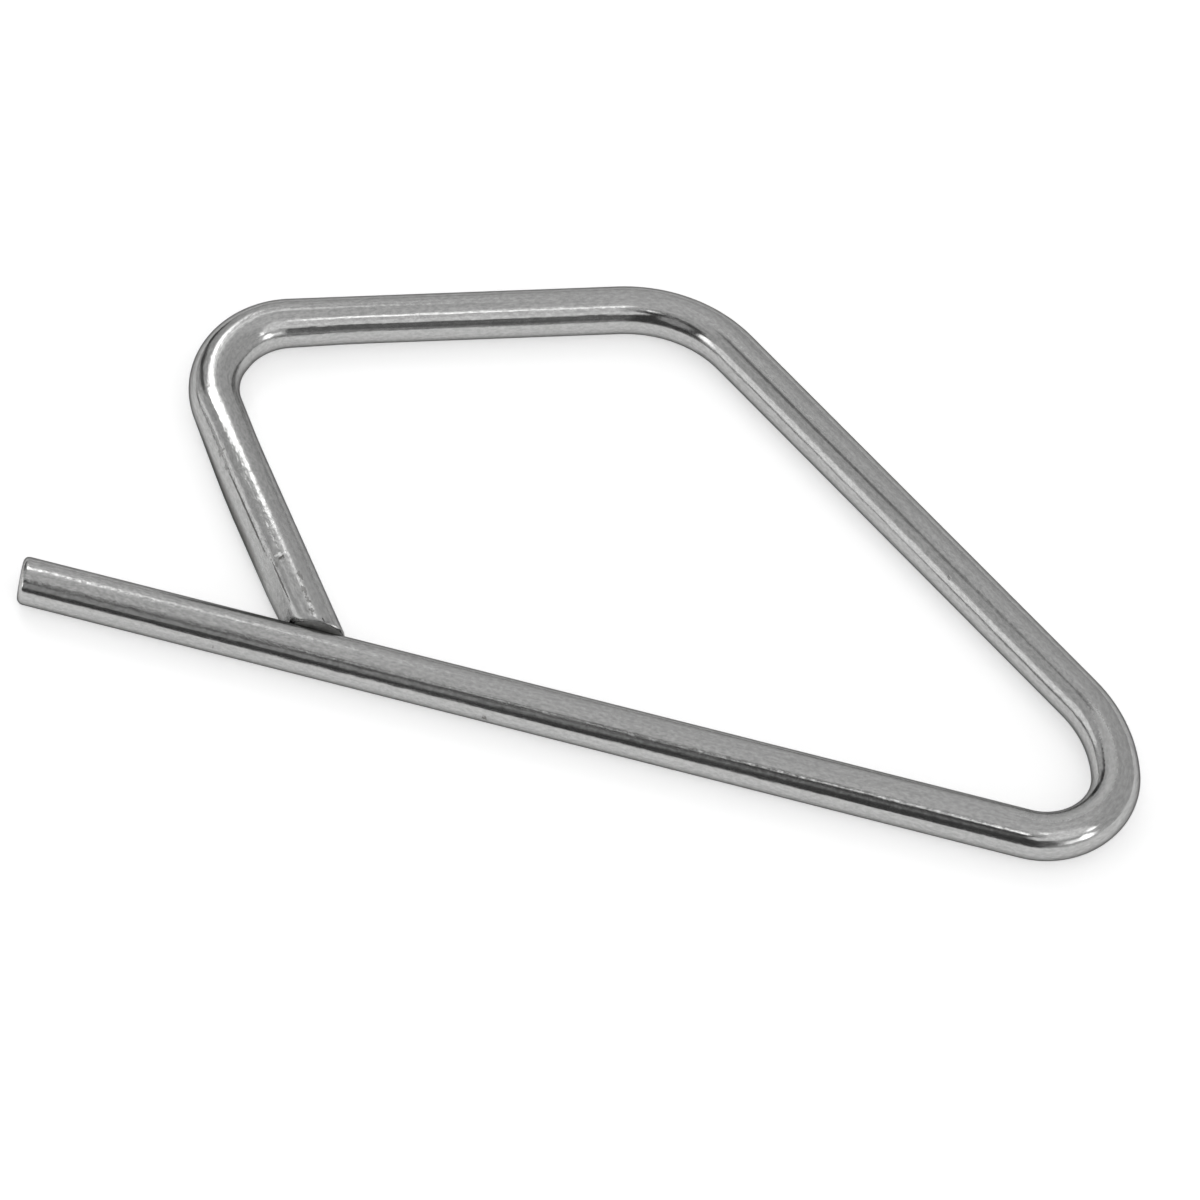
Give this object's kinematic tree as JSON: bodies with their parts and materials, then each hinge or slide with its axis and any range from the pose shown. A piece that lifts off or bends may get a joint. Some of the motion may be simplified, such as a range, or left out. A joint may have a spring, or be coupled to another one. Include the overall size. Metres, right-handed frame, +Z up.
{
  "type": "safety clip",
  "caption": "Bent spring-wire safety clip: a long pin leg with a free tip, and a kite-shaped loop whose short leg closes onto the pin to keep what is threaded on it.",
  "frame": {"origin": "centre of the clip's outline, at the lowest line of the wire, where it lies on a surface", "axes": "+X along the pin leg from its free tip to the nose bend, +Y across the loop from the pin leg to the crown bend, +Z up out of the plane of the loop"},
  "size_m": [0.07, 0.034, 0.003],
  "materials": {
    "bright_steel": "polished"
  },
  "bodies": {
    "root": {"clip_wire": "bright_steel"}
  },
  "joints": []
}
